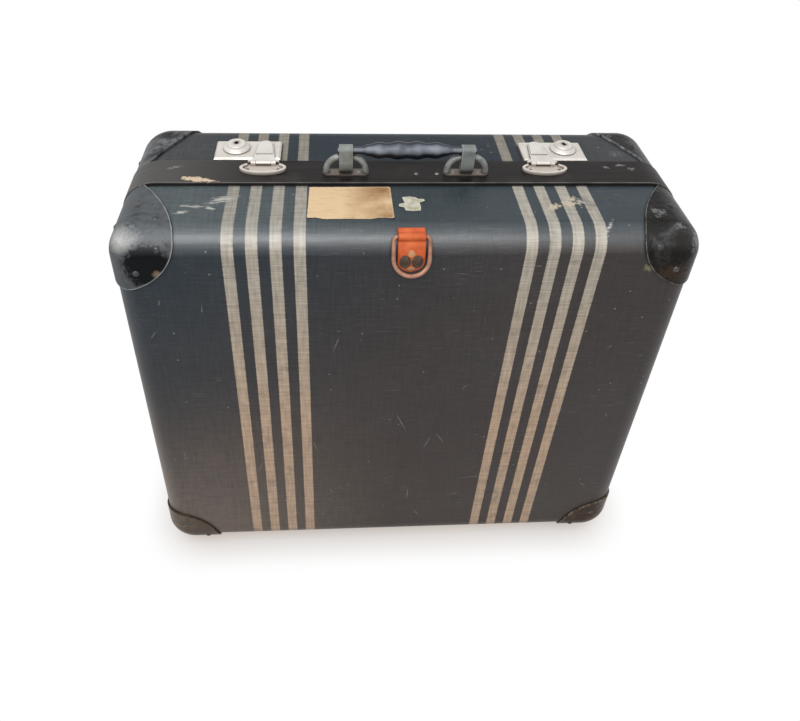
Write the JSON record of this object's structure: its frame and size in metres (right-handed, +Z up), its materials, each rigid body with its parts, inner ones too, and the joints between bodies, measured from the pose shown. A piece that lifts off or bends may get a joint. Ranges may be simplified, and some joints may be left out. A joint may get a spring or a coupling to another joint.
{
  "type": "hard suitcase",
  "caption": "Upright hard-sided suitcase: two hinged fibre half shells with corner caps, rim band, carrying handle, slide-button locks with hasps and a ring for a luggage tag.",
  "frame": {"origin": "centre of the bounding box at its lowest level, on the ground under the foot studs", "axes": "+Z up with the case standing on its hinge side, +X to the right seen from the front face, +Y from the front face to the back"},
  "size_m": [0.6082, 0.2449, 0.5615],
  "materials": {
    "fibre_shell": "painted vulcanised fibre, matt",
    "lining": "cotton lining on card",
    "frame_wood": "plain",
    "band_fibre": "dark brown vulcanised fibre, worn",
    "cap_fibre": "black vulcanised fibre, worn",
    "stud_metal": "dull, darkened",
    "ring_metal": "dull, scuffed",
    "lock_metal": "matt nickel plate",
    "grip": "moulded, satin",
    "loop_leather": "dark, worn",
    "tag_leather": "orange leather",
    "tag_rivet_metal": "blackened",
    "tag_metal": "tarnished copper brass",
    "paper": "aged bare paper",
    "hinge_metal": "dull steel"
  },
  "bodies": {
    "base": {"base_shell": "fibre_shell", "base_lining": "lining", "base_frame": "frame_wood", "rim_band": "band_fibre", "base_cap_top_left": "cap_fibre", "base_cap_top_right": "cap_fibre", "base_cap_bottom_left": "cap_fibre", "base_cap_bottom_right": "cap_fibre", "base_cap_rivets": "stud_metal", "base_foot_studs": "stud_metal", "handle_ring_left": "ring_metal", "handle_ring_right": "ring_metal", "handle_ring_rivets": "ring_metal", "band_rivets": "ring_metal", "hasp_base_left": "lock_metal", "hasp_base_right": "lock_metal", "hasp_base_rivets": "lock_metal", "hasp_pins": "lock_metal", "tag_tab": "tag_leather", "tag_rivets": "tag_rivet_metal", "paper_label": "paper", "paper_scrap": "paper", "base_hinge_leaf_left": "hinge_metal", "base_hinge_leaf_right": "hinge_metal", "hinge_pins": "hinge_metal", "base_hinge_rivets": "hinge_metal"},
    "lid": {"lid_shell": "fibre_shell", "lid_lining": "lining", "lid_frame": "frame_wood", "lid_cap_top_left": "cap_fibre", "lid_cap_top_right": "cap_fibre", "lid_cap_bottom_left": "cap_fibre", "lid_cap_bottom_right": "cap_fibre", "lid_cap_rivets": "stud_metal", "lid_foot_studs": "stud_metal", "lock_plate_left": "lock_metal", "lock_plate_right": "lock_metal", "lock_spring_left": "lock_metal", "lock_spring_right": "lock_metal", "lid_hinge_leaf_left": "hinge_metal", "lid_hinge_leaf_right": "hinge_metal", "lid_hinge_rivets": "hinge_metal"},
    "handle": {"handle_grip": "grip", "handle_loop_left": "loop_leather", "handle_loop_right": "loop_leather"},
    "hasp_left": {"hasp_left": "lock_metal"},
    "hasp_right": {"hasp_right": "lock_metal"},
    "tag_ring": {"tag_ring": "tag_metal"},
    "button_left": {"lock_button_left": "lock_metal"},
    "button_right": {"lock_button_right": "lock_metal"},
    "plug_left": {"key_plug_left": "lock_metal"},
    "plug_right": {"key_plug_right": "lock_metal"}
  },
  "joints": [
    {"name": "lid_hinge", "type": "hinge", "parent": "base", "child": "lid", "pos_m": [0, 0.03051, 0.0025], "axis": [-1, 0, 0], "range_deg": [0, 170]},
    {"name": "handle_swing", "type": "hinge", "parent": "base", "child": "handle", "pos_m": [0, 0.00331, 0.544], "axis": [1, 0, 0], "range_deg": [-80, 90]},
    {"name": "hasp_left_hinge", "type": "hinge", "parent": "base", "child": "hasp_left", "pos_m": [-0.155, 0.01881, 0.5272], "axis": [1, 0, 0], "range_deg": [0, 160]},
    {"name": "hasp_right_hinge", "type": "hinge", "parent": "base", "child": "hasp_right", "pos_m": [0.155, 0.01881, 0.5272], "axis": [1, 0, 0], "range_deg": [0, 160]},
    {"name": "button_left_slide", "type": "slide", "parent": "lid", "child": "button_left", "axis": [-1, 0, 0], "range_m": [0, 0.006], "stiffness_N_per_m": 300, "deforming": ["lock_spring_left"]},
    {"name": "button_right_slide", "type": "slide", "parent": "lid", "child": "button_right", "axis": [1, 0, 0], "range_m": [0, 0.006], "stiffness_N_per_m": 300, "deforming": ["lock_spring_right"]},
    {"name": "plug_left_turn", "type": "hinge", "parent": "button_left", "child": "plug_left", "pos_m": [-0.187, 0.05451, 0.529], "axis": [0, 0, 1], "range_deg": [0, 90]},
    {"name": "plug_right_turn", "type": "hinge", "parent": "button_right", "child": "plug_right", "pos_m": [0.187, 0.05451, 0.529], "axis": [0, 0, 1], "range_deg": [0, 90]},
    {"name": "tag_ring_swing", "type": "hinge", "parent": "base", "child": "tag_ring", "pos_m": [-0.0025, -0.10319, 0.5155], "axis": [-1, 0, 0], "range_deg": [0, 180]}
  ]
}
